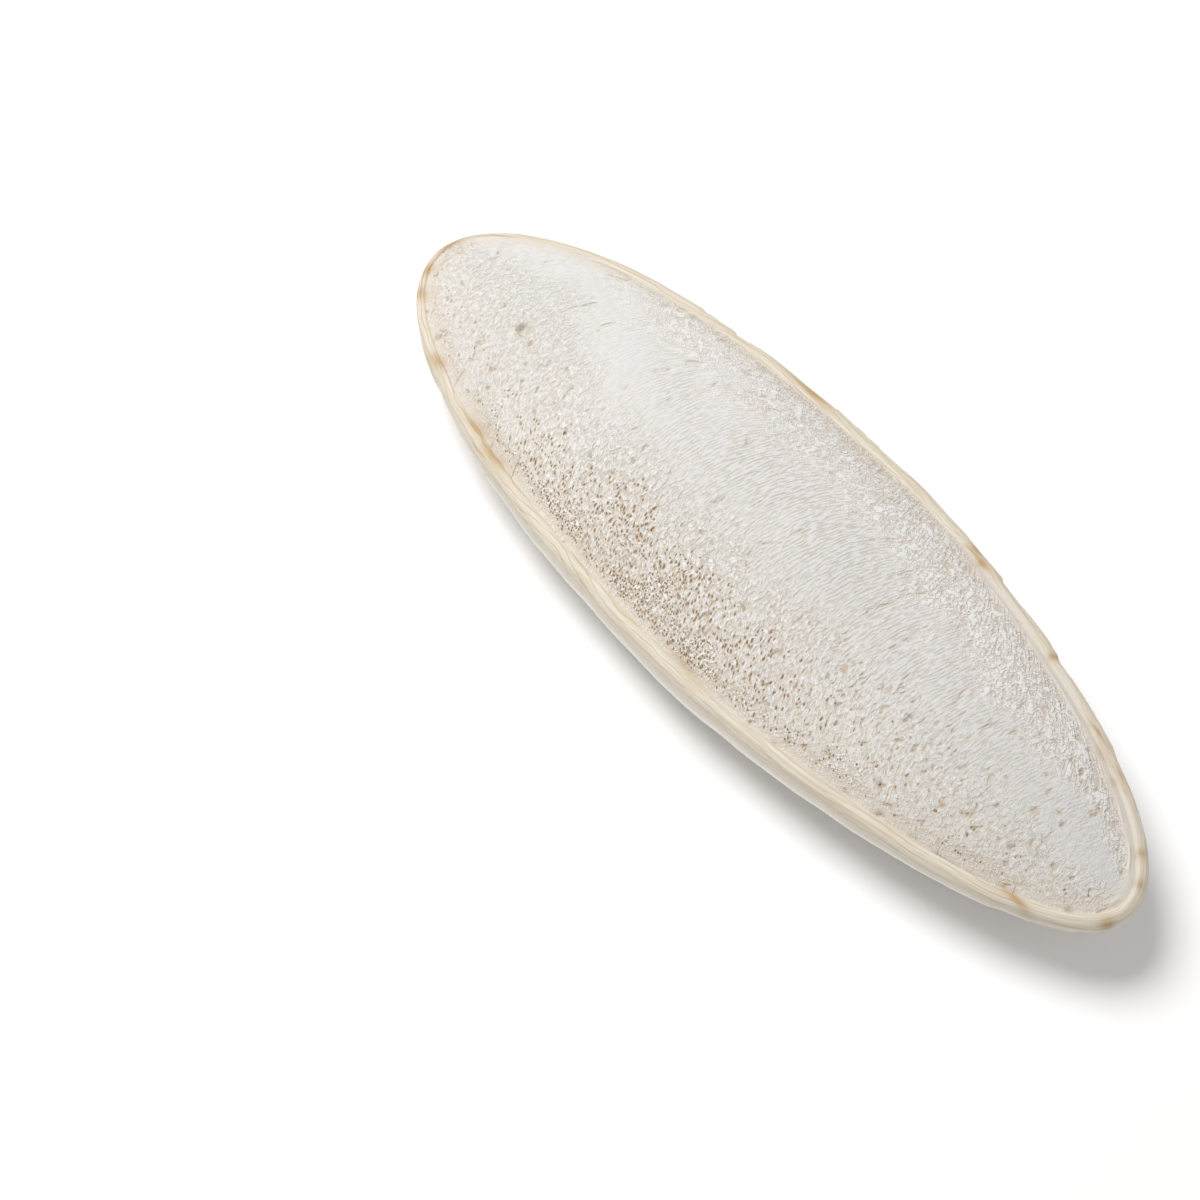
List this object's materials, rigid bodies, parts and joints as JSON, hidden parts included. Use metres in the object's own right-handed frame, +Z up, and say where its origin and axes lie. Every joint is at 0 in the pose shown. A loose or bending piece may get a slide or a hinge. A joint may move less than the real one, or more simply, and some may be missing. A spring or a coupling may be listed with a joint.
{
  "type": "cuttlebone",
  "caption": "Whole cuttlebone: long spindle-shaped chalky shell with a domed porous white face, a thin horny cream rim and a hard convex back.",
  "frame": {"origin": "under the middle of the bone, on the surface that it rests on", "axes": "+X along the bone towards its narrow hind end, +Y across it, +Z up out of the white face"},
  "size_m": [0.1662, 0.0556, 0.0171],
  "materials": {
    "bone": "matte"
  },
  "bodies": {
    "root": {"cuttlebone": "bone"}
  },
  "joints": []
}
